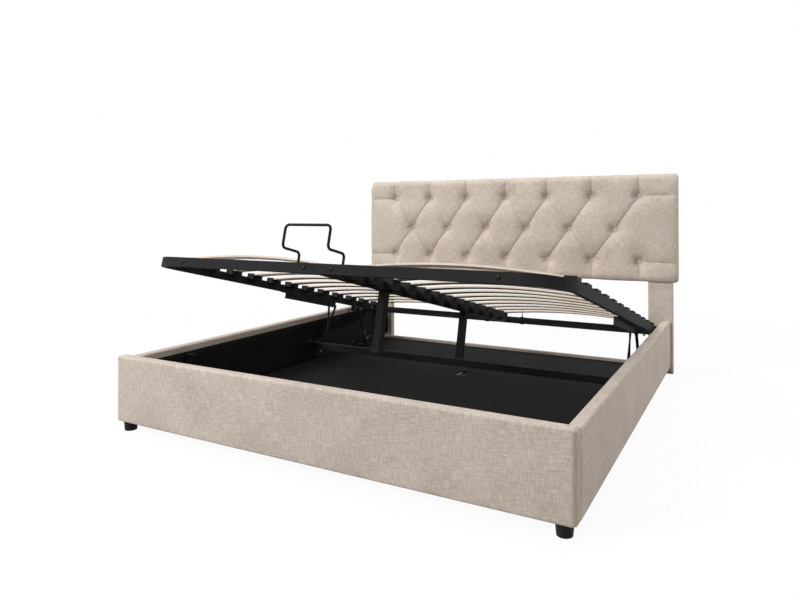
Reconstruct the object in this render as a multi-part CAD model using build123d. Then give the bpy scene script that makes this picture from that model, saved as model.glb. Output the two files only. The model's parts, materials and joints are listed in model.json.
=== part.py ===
from build123d import *
from math import atan2, cos, degrees, hypot, radians, sin
import os

# An ottoman storage bed: upholstered rails round a storage space, a buttoned headboard, and a slatted
# steel platform that swings up on two pivots near its head end with a gas strut on each side.
# Millimetres. +X is to the right seen from the foot, +Y runs to the headboard, +Z is up. The origin is
# on the floor under the middle of the bed. Every y below is counted from the footboard's outer face,
# and place() turns it into the part's own frame. The platform is drawn lying flat, as it is when the
# bed is closed, and raised() swings it to the opened position.

# Whole bed
overall_length = 2155.0
clear = 0.3
overrun = 5.0

# Upholstered rails
base_bottom = 40.0
footboard_width = 2030.0
footboard_top = 325.0
footboard_thickness = 48.0
rail_top = 312.0
rail_thickness = 50.0
rail_outer_x = 1011.0
padding = 6.0
cloth = 2.5
inner_wrap = 30.0
rail_edge_radius = 12.0

# Feet
foot_top_radius = 29.0
foot_bottom_radius = 25.0
foot_x = 965.0
foot_y = 38.0

# Low rail between the head legs
cross_rail_top = 64.0
cross_rail_thickness = 25.0
cross_rail_edge_radius = 4.0

# Headboard
headboard_width = 2112.0
headboard_bottom = 537.0
headboard_top = 1175.0
headboard_depth = 72.0
headboard_core_depth = 33.0
headboard_corner_radius = 38.0
headboard_rim = 6.0
back_panel_thickness = 10.0
back_cloth_thickness = 2.5
leg_inner_x = 887.5
leg_outer_x = 1027.0
leg_depth = 45.0
leg_top_gap = 35.0
glide_height = 6.0
glide_radius = 16.0
headboard_batten_width = 70.0

# Buttoning of the headboard
button_pitch = 281.0
button_row_shares = (0.801, 0.481, 0.18)
button_row_counts = (7, 6, 7)
button_radius = 13.0
button_thickness = 9.0
button_edge_radius = 3.0
button_depth = 24.0
button_seat = 4.0
tuft_reach = 74.0
pleat_depth = 8.0
pleat_reach = 20.0
crown = 6.0
edge_roll = 34.0

# Storage floor
ledge_thickness = 2.0
ledge_width = 36.0
ledge_height = 8.0
floor_panel_thickness = 6.0
floor_panel_gap = 2.0
floor_slot_half = 30.0
batten_inner_x = 22.0
batten_width = 26.0
batten_height = 18.0
batten_foot_radius = 12.0
batten_foot_shares = (0.14, 0.5, 0.86)
post_well_before = 50.0
post_well_behind = 38.0

# Steel cross brace between the rails
brace_before_post = 184.0
brace_bracket_gap = 45.0
brace_depth = 30.0
brace_height = 36.0
brace_top = 166.0
brace_plate_margin = 15.0
tube_wall = 2.0
plate = 4.0

# Corner angles and bolts
angle_leg = 40.0
angle_thickness = 3.0
angle_bottom = 80.0
angle_height = 160.0
corner_bolt_shares = (0.25, 0.75)
bolt_head_radius = 8.0
bolt_head_height = 4.0

# Platform, lying flat
pivot_inset = 237.0
pivot_z = 290.0
head_overhang = 166.0
platform_front_gap = 9.0
platform_half_width = 954.0
frame_height = 40.0
frame_width = 20.0
bend_radius = 150.0
bend_return = 20.0
beam_width = 40.0
opened_angle = 13.9

# Pivots
pin_radius = 8.0
pin_clearance = 0.06
ring_radius = 10.0
ring_thickness = 2.0

# Slats and their holders
slat_count = 12
slat_first = 144.0
slat_last = 194.0
slat_width = 62.0
slat_thickness = 8.0
slat_rise = 30.0
slat_end_height = 52.0
holder_width = 70.0
holder_reach = 36.0
holder_stop = 8.0
holder_top = 60.0
holder_lap = 7.0
side_holder_bottom = 31.0
beam_holder_bottom = 6.0

# Middle posts under the beam
post_places = (660.0, 1530.0)
post_width = 36.0
post_cap_wall = 2.0
post_cap_depth = 21.0
post_cap_floor = 12.0
floor_gap = 1.0

# Bolts in the front rail
front_bolt_x = (65.0, 730.0)
front_bolt_head_radius = 10.0
front_bolt_head_height = 4.5
front_bolt_shank_radius = 4.0
front_nut_radius = 7.0
front_nut_height = 5.0

# Mattress retainer
wire_radius = 5.2
retainer_leg_x = 106.0
retainer_top_x = 105.0
retainer_leg_inset = 12.0
retainer_step_height = 81.0
retainer_step = 104.0
retainer_height = 168.0
retainer_bend = 17.0

# Upper brackets and side legs
bracket_near = 619.0
bracket_far = 1109.0
bracket_width = 40.0
bracket_drop = 36.0
bracket_steel = 3.0
leg_bar = 14.0
leg_bar_thickness = 6.0
leg_a_top = (694.0, 16.0)
leg_a_bottom = 661.0
leg_b_top = (630.0, 28.0)
leg_b_bottom = 702.0

# Rests on the side rails
rest_from_foot = 350.0
rest_before_pivot = 398.0
rest_width = 40.0
rest_height = 36.0
rest_pad = 3.5
rest_gap = 0.5

# Base brackets, each a plate on a side rail
bracket_bottom = 50.0
bracket_front_top = 162.0
bracket_slope_reach = 218.0
bracket_slope_top = 205.0
bracket_neck_reach = 58.0
bracket_neck_top = 226.0
bracket_head_half = 25.0
bracket_rear_reach = 50.0
bracket_rear_top = 232.0
flange_half = 34.0
screw_radius = 7.0
screw_head = 3.0
screw_shares = (0.06, 0.33, 0.6, 0.93)
screw_rise = 34.0

# Gas struts
strut_x = 892.0
strut_low_reach = 138.0
strut_low_z = 100.0
strut_high_reach = 228.0
strut_high_z = 252.0
strut_pin_radius = 5.0
strut_eye_radius = 10.0
strut_eye_width = 12.0
strut_high_play = 3.0
strut_high_eye_radius = 12.0
ear_thickness = 4.0
ear_gap = 3.0
ear_half = 12.0
ear_above = 13.0
rod_radius = 4.0
rod_length = 156.0
rod_clearance = 0.05
barrel_radius = 8.0
barrel_length = 145.0
barrel_neck = 5.0
barrel_end = 6.0
collar_thickness = 3.0
collar_radius = 12.0
mount_half = 20.0
mount_below = 14.0
mount_above = 26.0

# Clips with an upright wire on the head rail
clip_x = 120.0
clip_width = 16.0
clip_wall = 3.5
clip_wire_radius = 2.6
clip_wire_height = 62.0

# Places worked out from the sizes above
half_length = overall_length / 2
rail_inner_x = rail_outer_x - rail_thickness
frame_bottom = pivot_z - frame_height / 2
frame_top = frame_bottom + frame_height
pivot_y = overall_length - pivot_inset
head_end_y = pivot_y + head_overhang
front_face_y = footboard_thickness + platform_front_gap
platform_length = head_end_y - front_face_y
slat_pitch = (platform_length - slat_first - slat_last) / (slat_count - 1)
tube_inner_x = platform_half_width - frame_width
floor_top = base_bottom + floor_panel_thickness
headboard_front_y = overall_length - headboard_depth
headboard_core_y = overall_length - headboard_core_depth
leg_front_y = overall_length - leg_depth
rail_end_y = leg_front_y
cross_rail_y = rail_end_y - cross_rail_thickness
brace_y = head_end_y - min(post_places) - brace_before_post
bracket_front_y = brace_y + brace_depth + brace_plate_margin + brace_bracket_gap
bracket_slope_y = pivot_y - bracket_slope_reach
bracket_neck_y = pivot_y - bracket_neck_reach
bracket_rear_y = pivot_y + bracket_rear_reach
strut_low = (pivot_y - strut_low_reach, strut_low_z)
strut_high = (pivot_y - strut_high_reach, strut_high_z)
bracket_x = rail_inner_x - plate


def place(x, y, z):
    """Location of a point whose y is counted from the footboard's outer face."""
    return Pos(x, y - half_length, z)


def block(x, y, z):
    """Block between two values in each direction."""
    middle = place(sum(x) / 2, sum(y) / 2, sum(z) / 2)
    return middle * Box(x[1] - x[0], y[1] - y[0], z[1] - z[0])


def tube(x, y, z, along):
    """Square tube with its ends open along one direction."""
    spans = []
    for span, name in ((x, "x"), (y, "y"), (z, "z")):
        grow = overrun if name == along else -tube_wall
        spans.append((span[0] - grow, span[1] + grow))
    return block(x, y, z) - block(*spans)


def disc_x(x, y, z, radius):
    """Round bar that runs along X between two values."""
    turned = place(sum(x) / 2, y, z) * Rot(0, 90, 0)
    return turned * Cylinder(radius, x[1] - x[0])


def disc_y(x, y, z, radius):
    """Round bar that runs along Y between two values."""
    turned = place(x, sum(y) / 2, z) * Rot(90, 0, 0)
    return turned * Cylinder(radius, y[1] - y[0])


def disc_z(x, y, z, radius):
    """Round bar that runs along Z between two values."""
    return place(x, y, sum(z) / 2) * Cylinder(radius, z[1] - z[0])


def side_plate(x, outline):
    """Plate across X, with its outline given as points of y and z."""
    face = make_face(Polyline(*outline, close=True))
    on_side = place(x[0], 0, 0) * (Plane.YZ * face)
    return extrude(on_side, x[1] - x[0])


def side_bar(x, start, end, radius):
    """Flat bar with round ends, across X, between two points of y and z."""
    length = hypot(end[0] - start[0], end[1] - start[1])
    angle = degrees(atan2(end[1] - start[1], end[0] - start[0]))
    middle = Pos((start[0] + end[0]) / 2, (start[1] + end[1]) / 2)
    face = middle * Rot(0, 0, angle) * SlotCenterToCenter(length, 2 * radius)
    return extrude(place(x[0], 0, 0) * (Plane.YZ * face), x[1] - x[0])


def left_of(piece):
    """The same piece on the left side of the bed."""
    return mirror(piece, Plane.YZ)


def both(piece):
    """A right-hand piece and its left-hand twin."""
    return [piece, left_of(piece)]


def raised(piece):
    """Swing a piece of the flat platform up to the opened position."""
    pivot = place(0, pivot_y, pivot_z)
    return pivot * Rot(-opened_angle, 0, 0) * pivot.inverse() * piece


def save(name, pieces):
    """Write one sub-part, which may hold several separate solids."""
    solids = []
    for piece in pieces:
        solids.extend(piece.solids())
    shape = solids[0] if len(solids) == 1 else Compound(solids)
    export_step(shape, os.path.join("parts", name + ".step"))


# Rails and footboard

def footboard():
    """Board of the footboard, the padded cover round it and the lining inside."""
    half = footboard_width / 2
    whole = block((-half, half), (0, footboard_thickness), (base_bottom, footboard_top))
    whole = fillet(whole.edges(), rail_edge_radius)
    lining_y = (footboard_thickness - cloth, footboard_thickness)
    z = (base_bottom + padding, footboard_top - padding)
    board = block((padding - half, half - padding), (padding, lining_y[0]), z)
    lining_z = (z[0], footboard_top - inner_wrap)
    lining = block((-rail_inner_x, rail_inner_x), lining_y, lining_z)
    return board, whole - board - lining, lining


def side_rail():
    """Board, padded cover and lining of the right-hand side rail."""
    y = (footboard_thickness, rail_end_y)
    whole = block((rail_inner_x, rail_outer_x), y, (base_bottom, rail_top))
    whole = fillet(whole.edges(), rail_edge_radius)
    lining_x = (rail_inner_x, rail_inner_x + cloth)
    z = (base_bottom + padding, rail_top - padding)
    board_y = (y[0] + padding, y[1] - padding)
    board = block((lining_x[1], rail_outer_x - padding), board_y, z)
    lining = block(lining_x, board_y, (z[0], rail_top - inner_wrap))
    return board, whole - board - lining, lining


def head_cross_rail():
    """Low covered rail between the side rails at the head end."""
    x = (-rail_inner_x, rail_inner_x)
    bar = block(x, (cross_rail_y, rail_end_y), (base_bottom, cross_rail_top))
    return fillet(bar.edges().filter_by(Axis.X), cross_rail_edge_radius)


def front_feet():
    """Two tapered round feet under the footboard's ends."""
    foot = Cone(foot_bottom_radius, foot_top_radius, base_bottom)
    return both(place(foot_x, foot_y, base_bottom / 2) * foot)


# Headboard

def button_places():
    """Button centres row by row: each row's buttons keep the pitch and stay centred."""
    places = []
    for share, count in zip(button_row_shares, button_row_counts):
        z = headboard_bottom + (headboard_top - headboard_bottom) * share
        first = -button_pitch * (count - 1) / 2
        places.append([(first + button_pitch * i, z) for i in range(count)])
    return places


def pleats():
    """Folds between the buttons, and from the outer buttons to the edges."""
    top, middle, bottom = button_places()
    half = headboard_width / 2
    lines = []
    for row in (top, bottom):
        for x, z in middle:
            for bx, bz in row:
                if abs(bx - x) < button_pitch:
                    lines.append(((x, z), (bx, bz)))
    lines += [(p, (p[0], headboard_top)) for p in top]
    lines += [(p, (p[0], headboard_bottom)) for p in bottom]
    for row in (top, bottom):
        lines.append((row[0], (-half, row[0][1])))
        lines.append((row[-1], (half, row[-1][1])))
    return lines


def padded_body():
    """Cushion before it is buttoned: a crowned front with rounded edges and corners."""
    half = headboard_width / 2
    front = headboard_front_y
    rear = overall_length - back_cloth_thickness
    middle = (headboard_bottom + headboard_top) / 2
    low, high = (front, headboard_bottom), (front, headboard_top)
    bulge = ThreePointArc(low, (front - crown, middle), high)
    sides = Polyline(high, (rear, headboard_top), (rear, headboard_bottom), low)
    face = make_face([bulge, sides])
    body = extrude(place(-half, 0, 0) * (Plane.YZ * face), headboard_width)
    body = fillet(body.edges().filter_by(Axis.Y), headboard_corner_radius)
    return fillet(body.faces().sort_by(Axis.Y)[0].edges(), edge_roll)


def dimple(x, z):
    """Ball that presses the cushion in round one button."""
    ball = (tuft_reach ** 2 + button_depth ** 2) / (2 * button_depth)
    return place(x, headboard_front_y + button_depth - ball, z) * Sphere(ball)


def fold(start, end):
    """Bar that presses a soft groove into the cushion between two points of x and z."""
    bar = (pleat_reach ** 2 + pleat_depth ** 2) / (2 * pleat_depth)
    length = hypot(end[0] - start[0], end[1] - start[1])
    angle = degrees(atan2(end[0] - start[0], end[1] - start[1]))
    y = headboard_front_y + pleat_depth - bar
    middle = place((start[0] + end[0]) / 2, y, (start[1] + end[1]) / 2)
    return middle * Rot(0, angle, 0) * Cylinder(bar, length)


def cushion():
    """Buttoned cushion with a rim that covers the edges of the board behind it."""
    half = headboard_width / 2
    inside_x = (headboard_rim - half, half - headboard_rim)
    inside_z = (headboard_bottom + headboard_rim, headboard_top - headboard_rim)
    tools = [block(inside_x, (headboard_core_y, overall_length), inside_z)]
    tools += both(stile_space())
    tools += [dimple(x, z) for row in button_places() for x, z in row]
    tools += [fold(start, end) for start, end in pleats()]
    body = padded_body() - tools
    return body - button_seats()


def stile_space():
    """Room that the right-hand leg's upper part takes behind the cushion."""
    y = (headboard_core_y, overall_length)
    z = (headboard_bottom - overrun, headboard_bottom + headboard_rim + overrun)
    return block((leg_inner_x, leg_outer_x), y, z)


def button_seats():
    """Holes in the cushion's face that the buttons are drawn into."""
    y = (headboard_front_y - overrun, headboard_front_y + button_depth + button_seat)
    seats = []
    for row in button_places():
        for x, z in row:
            seats.append(disc_y(x, y, z, button_radius + clear))
    return seats


def buttons():
    """Cloth-covered buttons with rounded rims."""
    back = headboard_front_y + button_depth + button_seat
    pieces = []
    for row in button_places():
        for x, z in row:
            button = disc_y(x, (back - button_thickness, back), z, button_radius)
            front_rim = button.edges().filter_by(GeomType.CIRCLE).sort_by(Axis.Y)[0]
            pieces.append(fillet(front_rim, button_edge_radius))
    return pieces


def headboard_leg():
    """Right-hand leg timber: thick below the headboard, thin behind it."""
    x = (leg_inner_x + cloth, leg_outer_x - cloth)
    rear = overall_length - cloth
    lower = block(x, (leg_front_y + cloth, rear), (glide_height, headboard_bottom))
    stile_y = (headboard_core_y + back_panel_thickness, rear)
    return lower + block(x, stile_y, (headboard_bottom, headboard_top - leg_top_gap))


def leg_cover():
    """Cloth sleeve round the right-hand leg below the headboard."""
    x = (leg_inner_x, leg_outer_x)
    whole = block(x, (leg_front_y, overall_length), (glide_height, headboard_bottom))
    whole = fillet(whole.edges().filter_by(Axis.Z), 2 * cloth)
    return whole - headboard_leg()


def leg_glides():
    """Plastic discs under the headboard legs."""
    x = (leg_inner_x + leg_outer_x) / 2
    y = (leg_front_y + overall_length) / 2
    return both(disc_z(x, y, (0, glide_height), glide_radius))


def headboard_inside():
    """Board behind the cushion, the battens between the stiles and the cloth that closes the back."""
    half = headboard_width / 2 - headboard_rim
    z = (headboard_bottom + headboard_rim, headboard_top - headboard_rim)
    batten_y = (headboard_core_y + back_panel_thickness, overall_length - back_cloth_thickness)
    panel = block((-half, half), (headboard_core_y, batten_y[0]), z)
    stile_x = leg_inner_x + cloth
    middle = (z[0] + z[1] - headboard_batten_width) / 2
    battens = []
    for low in (z[0], middle, z[1] - headboard_batten_width):
        battens.append(block((-stile_x, stile_x), batten_y, (low, low + headboard_batten_width)))
    back = block((-half, half), (batten_y[1], overall_length), z)
    return panel, battens, back


# Storage floor

def floor_ledges():
    """Steel angles along the four inner faces that carry the floor panels."""
    under = (base_bottom - ledge_thickness, base_bottom)
    up = (base_bottom, base_bottom + ledge_height)
    y = (footboard_thickness, cross_rail_y)
    past_foot = (foot_y + foot_top_radius + clear, y[1])
    side = block((rail_inner_x - ledge_width, rail_inner_x), past_foot, under)
    side += block((rail_inner_x - ledge_thickness, rail_inner_x), past_foot, up)
    half = rail_inner_x - ledge_width - clear
    front = block((-half, half), (y[0], y[0] + ledge_width), under)
    front += block((-half, half), (y[0], y[0] + ledge_thickness), up)
    rear = block((-half, half), (y[1] - ledge_width, y[1]), under)
    rear += block((-half, half), (y[1] - ledge_thickness, y[1]), up)
    return both(side) + [front, rear]


def floor_limits():
    """First and last y of the floor, inside the ledges."""
    inset = ledge_thickness + clear
    return footboard_thickness + inset, cross_rail_y - inset


def floor_panels():
    """Four thin boards, two on each side of the middle slot."""
    low, high = floor_limits()
    middle = (low + high) / 2
    x = (floor_slot_half, rail_inner_x - ledge_thickness - clear)
    z = (base_bottom, floor_top)
    front = block(x, (low, middle - floor_panel_gap / 2), z)
    rear = block(x, (middle + floor_panel_gap / 2, high), z)
    return both(front) + both(rear)


def post_wells():
    """Spans of y that the middle posts swing through, from the foot to the head."""
    wells = []
    for along in sorted(post_places, reverse=True):
        y = head_end_y - along
        wells.append((y - post_well_before, y + post_well_behind))
    return wells


def floor_strips():
    """Strips that fill the middle slot, open where the posts come down."""
    low, high = floor_limits()
    half = floor_slot_half - clear
    strips = []
    for well in post_wells() + [(high, high)]:
        strips.append(block((-half, half), (low, well[0]), (base_bottom, floor_top)))
        low = well[1]
    return strips


def floor_battens():
    """Two timber battens under the middle of the floor, and their little feet."""
    low = footboard_thickness + ledge_width + clear
    high = cross_rail_y - ledge_width - clear
    x = (batten_inner_x, batten_inner_x + batten_width)
    bottom = base_bottom - batten_height
    batten = block(x, (low, high), (bottom, base_bottom))
    feet = []
    for share in batten_foot_shares:
        y = low + (high - low) * share
        feet += both(disc_z(sum(x) / 2, y, (0, bottom), batten_foot_radius))
    return both(batten), feet


def cross_brace():
    """Square tube from rail to rail, and the plates on its ends that are screwed to the rails."""
    y = (brace_y, brace_y + brace_depth)
    z = (brace_top - brace_height, brace_top)
    bar = tube((-bracket_x, bracket_x), y, z, "x")
    margin = brace_plate_margin
    end = block((bracket_x, rail_inner_x), (y[0] - margin, y[1] + margin), (z[0] - margin, z[1] + margin))
    return [bar] + both(end)


def corner_angles():
    """Steel angles that hold the side rails to the footboard and to the headboard legs."""
    z = (angle_bottom, angle_bottom + angle_height)
    inner = rail_inner_x - angle_thickness
    foot_y = (footboard_thickness, footboard_thickness + angle_thickness)
    foot = block((rail_inner_x - angle_leg, rail_inner_x), foot_y, z)
    foot += block((inner, rail_inner_x), (foot_y[0], foot_y[0] + angle_leg), z)
    head_y = (leg_front_y - angle_thickness, leg_front_y)
    head = block((rail_inner_x - angle_leg, rail_inner_x), head_y, z)
    head += block((inner, rail_inner_x), (head_y[1] - angle_leg, head_y[1]), z)
    return both(foot), both(head)


def corner_bolts():
    """Bolt heads on the corner angles, two on each leaf."""
    inner = rail_inner_x - angle_thickness
    foot_y = footboard_thickness + angle_thickness
    head_y = leg_front_y - angle_thickness
    out = angle_leg / 2 + angle_thickness
    bolts = []
    for share in corner_bolt_shares:
        z = angle_bottom + angle_height * share
        along_x = (inner - bolt_head_height, inner)
        bolts += both(disc_x(along_x, footboard_thickness + out, z, bolt_head_radius))
        bolts += both(disc_x(along_x, leg_front_y - out, z, bolt_head_radius))
        x = rail_inner_x - out
        bolts += both(disc_y(x, (foot_y, foot_y + bolt_head_height), z, bolt_head_radius))
        bolts += both(disc_y(x, (head_y - bolt_head_height, head_y), z, bolt_head_radius))
    return bolts


# Brackets fixed to the rails

def base_bracket():
    """Right-hand pivot bracket: a sloping plate, a head round the pivot and a clevis for the strut."""
    outline = [
        (bracket_front_y, bracket_bottom),
        (bracket_rear_y, bracket_bottom),
        (bracket_rear_y, bracket_rear_top),
        (pivot_y + bracket_head_half, pivot_z),
        (pivot_y - bracket_head_half, pivot_z),
        (bracket_neck_y, bracket_neck_top),
        (bracket_slope_y, bracket_slope_top),
        (bracket_front_y, bracket_front_top),
    ]
    x = (bracket_x, rail_inner_x)
    body = side_plate(x, outline) + disc_x(x, pivot_y, pivot_z, bracket_head_half)
    y, z = strut_low
    outer = strut_x + strut_eye_width / 2 + ear_gap + ear_thickness
    inner = strut_x - strut_eye_width / 2 - ear_gap - ear_thickness
    flange_z = (bracket_bottom, bracket_bottom + plate)
    body += block((inner, rail_inner_x), (y - flange_half, y + flange_half), flange_z)
    for ear in ((inner, inner + ear_thickness), (outer - ear_thickness, outer)):
        body += block(ear, (y - ear_half, y + ear_half), (bracket_bottom, z + ear_above))
    body -= disc_x((inner - overrun, outer + overrun), y, z, strut_pin_radius + clear)
    return body - disc_x((x[0] - overrun, x[1] + overrun), pivot_y, pivot_z, pin_radius)


def bracket_screws():
    """Domed screw heads along the foot of each base bracket."""
    heads = []
    for share in screw_shares:
        y = bracket_front_y + (bracket_rear_y - bracket_front_y) * share
        along = (bracket_x - screw_head, bracket_x)
        heads += both(disc_x(along, y, bracket_bottom + screw_rise, screw_radius))
    return heads


def pivot_pins():
    """Pivot pins fixed in the base brackets, each with a retaining ring inside the platform's tube."""
    end_x = tube_inner_x - 2 * ring_thickness
    pin = disc_x((end_x, rail_inner_x), pivot_y, pivot_z, pin_radius)
    ring_x = (tube_inner_x - ring_thickness - clear, tube_inner_x - clear)
    return both(pin + disc_x(ring_x, pivot_y, pivot_z, ring_radius))


def strut_pins():
    """Lower pins of the gas struts, across the ears of the base brackets."""
    reach = strut_eye_width / 2 + ear_gap + ear_thickness
    pin = disc_x((strut_x - reach, strut_x + reach), *strut_low, strut_pin_radius)
    head_x = (strut_x - reach - collar_thickness, strut_x - reach)
    return both(pin + disc_x(head_x, *strut_low, strut_eye_radius))


def rests():
    """Angle brackets on the side rails that the closed platform lies on, and their rubber pads."""
    pad_top = frame_bottom - rest_gap
    shelf_top = pad_top - rest_pad
    brackets = []
    pads = []
    for y in (rest_from_foot, pivot_y - rest_before_pivot):
        span = (y - rest_width / 2, y + rest_width / 2)
        angle = block((tube_inner_x, rail_inner_x), span, (shelf_top - plate, shelf_top))
        angle += block((bracket_x, rail_inner_x), span, (shelf_top - rest_height, shelf_top))
        brackets += both(angle)
        pads += both(block((tube_inner_x, bracket_x), span, (shelf_top, pad_top)))
    return brackets, pads


# Platform, drawn flat

def front_plan(inset):
    """Plan of the frame's front end, its corners rounded, drawn in all round by an inset."""
    reach = bend_radius + bend_return
    size = (2 * (platform_half_width - inset), 2 * (2 * reach - inset))
    loop = RectangleRounded(*size, bend_radius - inset)
    return place(0, front_face_y + 2 * reach, 0) * loop


def front_tube(shrink):
    """Bent tube of the front rail as a solid, its section made smaller all round by shrink."""
    reach = bend_radius + bend_return
    band = front_plan(shrink) - front_plan(frame_width - shrink)
    bar = Pos(0, 0, frame_bottom + shrink) * extrude(band, frame_height - 2 * shrink)
    y = (front_face_y - overrun, front_face_y + reach)
    x = platform_half_width + overrun
    return bar & block((-x, x), y, (frame_bottom - overrun, frame_top + overrun))


def front_rail():
    """Front rail bent round both corners, with holes for its bolts."""
    rail = front_tube(0) - front_tube(tube_wall)
    y = (front_face_y - overrun, front_face_y + frame_width + overrun)
    for x in front_bolt_x:
        for hole in both(disc_y(x, y, pivot_z, front_bolt_shank_radius + clear)):
            rail -= hole
    for socket in both(retainer_socket()):
        rail -= socket
    return rail


def retainer_socket():
    """Hole in the front rail's top for one leg of the retainer."""
    y = front_face_y + retainer_leg_inset
    z = (frame_top - tube_wall - overrun, frame_top + overrun)
    return disc_z(retainer_leg_x, y, z, wire_radius + clear)


def side_tube():
    """Right-hand side rail of the platform, bored for the pivot pin."""
    y = (front_face_y + bend_radius + bend_return, head_end_y - frame_width)
    rail = tube((tube_inner_x, platform_half_width), y, (frame_bottom, frame_top), "y")
    x = (tube_inner_x - overrun, platform_half_width + overrun)
    return rail - disc_x(x, pivot_y, pivot_z, pin_radius + pin_clearance)


def head_rail():
    """Straight rail across the platform's head end."""
    x = (-platform_half_width, platform_half_width)
    return tube(x, (head_end_y - frame_width, head_end_y), (frame_bottom, frame_top), "x")


def centre_beam():
    """Beam along the middle of the platform."""
    half = beam_width / 2
    y = (front_face_y + frame_width, head_end_y - frame_width)
    return tube((-half, half), y, (frame_bottom, frame_top), "y")


def front_bolts():
    """Domed bolts through the front rail, with nuts behind it."""
    rear = front_face_y + frame_width
    height = front_bolt_head_height
    ball = (front_bolt_head_radius ** 2 + height ** 2) / (2 * height)
    pieces = []
    for x in front_bolt_x:
        dome = place(x, front_face_y + ball - height, pivot_z) * Sphere(ball)
        reach = (x - ball, x + ball)
        half_z = (pivot_z - ball, pivot_z + ball)
        dome &= block(reach, (front_face_y - 2 * height, front_face_y), half_z)
        shank_y = (front_face_y, rear + front_nut_height)
        bolt = dome + disc_y(x, shank_y, pivot_z, front_bolt_shank_radius)
        bolt += disc_y(x, (rear, rear + front_nut_height), pivot_z, front_nut_radius)
        pieces += both(bolt)
    return pieces


def slat_places():
    """Each slat's y on the flat platform."""
    return [head_end_y - slat_first - slat_pitch * i for i in range(slat_count)]


def bowed_strip(y, thickness, width):
    """Strip bowed upwards between the beam and the side tube."""
    start = beam_width / 2 + holder_stop
    end = tube_inner_x - holder_stop
    ends = frame_bottom + slat_end_height
    crest = ends + slat_rise
    middle = (start + end) / 2
    half = thickness / 2
    top = ThreePointArc((start, ends + half), (middle, crest + half), (end, ends + half))
    under = ThreePointArc((end, ends - half), (middle, crest - half), (start, ends - half))
    face = make_face([top, Line(top @ 1, under @ 0), under, Line(under @ 1, top @ 0)])
    return extrude(place(0, y, 0) * (Plane.XZ * face), width / 2, both=True)


def slats():
    """Bowed slats of the right-hand column."""
    return [bowed_strip(y, slat_thickness, slat_width) for y in slat_places()]


def side_holders():
    """Plastic holders on the right-hand tube, one for each slat's outer end."""
    z = (frame_bottom + side_holder_bottom, frame_bottom + holder_top)
    x = (tube_inner_x - holder_reach, tube_inner_x + holder_lap)
    frame = front_tube(0) + block(
        (tube_inner_x, platform_half_width), (front_face_y + bend_radius, head_end_y), (frame_bottom, frame_top)
    )
    holders = []
    for y in slat_places():
        body = block(x, (y - holder_width / 2, y + holder_width / 2), z)
        body -= bowed_strip(y, slat_thickness + 2 * clear, slat_width + 2 * clear)
        holders.append(body - frame)
    return holders


def beam_holders():
    """Plastic saddles over the centre beam, each with a socket on both sides."""
    z = (frame_bottom + beam_holder_bottom, frame_bottom + holder_top)
    half = beam_width / 2 + holder_reach
    holders = []
    for y in slat_places():
        body = block((-half, half), (y - holder_width / 2, y + holder_width / 2), z)
        body -= block(
            (-beam_width / 2, beam_width / 2), (y - holder_width, y + holder_width), (frame_bottom, frame_top)
        )
        for socket in both(bowed_strip(y, slat_thickness + 2 * clear, slat_width + 2 * clear)):
            body -= socket
        holders.append(body)
    return holders


def posts():
    """Square posts under the centre beam and the rubber caps that stand on the floor."""
    half = post_width / 2
    cap_half = half + post_cap_wall
    tubes = []
    caps = []
    for along in post_places:
        y = head_end_y - along
        span = (y - half, y + half)
        tubes.append(tube((-half, half), span, (floor_gap + post_cap_floor, frame_bottom), "z"))
        cap = block((-cap_half, cap_half), (y - cap_half, y + cap_half), (floor_gap, floor_gap + post_cap_depth))
        fitted = half + clear
        cap -= block((-fitted, fitted), (y - fitted, y + fitted), (floor_gap + post_cap_floor, pivot_z))
        caps.append(cap)
    return tubes, caps


def retainer():
    """Bent wire loop that stops the mattress from sliding off the raised platform."""
    y = front_face_y + retainer_leg_inset
    outer_y = y - retainer_step
    low = frame_top - tube_wall - overrun
    step = frame_bottom + retainer_step_height
    top = frame_bottom + retainer_height
    half = [(retainer_leg_x, y, low), (retainer_leg_x, y, step)]
    half += [(retainer_top_x, outer_y, step), (retainer_top_x, outer_y, top)]
    other = [(-x, py, pz) for x, py, pz in reversed(half)]
    points = [(x, py - half_length, pz) for x, py, pz in half + other]
    path = FilletPolyline(*points, radius=retainer_bend)
    section = Plane(origin=path @ 0, z_dir=path % 0) * Circle(wire_radius)
    return sweep(section, path=path)


def upper_bracket():
    """Right-hand steel angle under the side tube that carries the side leg."""
    y = (head_end_y - bracket_far, head_end_y - bracket_near)
    inner = platform_half_width - bracket_width
    flat = block((inner, platform_half_width), y, (frame_bottom - bracket_steel, frame_bottom))
    return flat + block((inner, inner + bracket_steel), y, (frame_bottom - bracket_drop, frame_bottom))


def side_leg():
    """Right-hand leg of two crossing flat bars joined by a foot bar."""
    face_x = platform_half_width - bracket_width
    outer = (face_x - leg_bar_thickness, face_x)
    inner = (face_x - 2 * leg_bar_thickness, face_x - leg_bar_thickness)
    radius = leg_bar / 2
    foot_z = floor_top + floor_gap + radius
    a_top = (head_end_y - leg_a_top[0], frame_bottom - leg_a_top[1])
    a_foot = (head_end_y - leg_a_bottom, foot_z)
    b_top = (head_end_y - leg_b_top[0], frame_bottom - leg_b_top[1])
    b_foot = (head_end_y - leg_b_bottom, foot_z)
    leg = side_bar(outer, a_top, a_foot, radius) + side_bar(inner, b_top, b_foot, radius)
    leg += side_bar((inner[0], outer[1]), b_foot, a_foot, radius)
    return leg + disc_x(outer, *b_top, radius)


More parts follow.
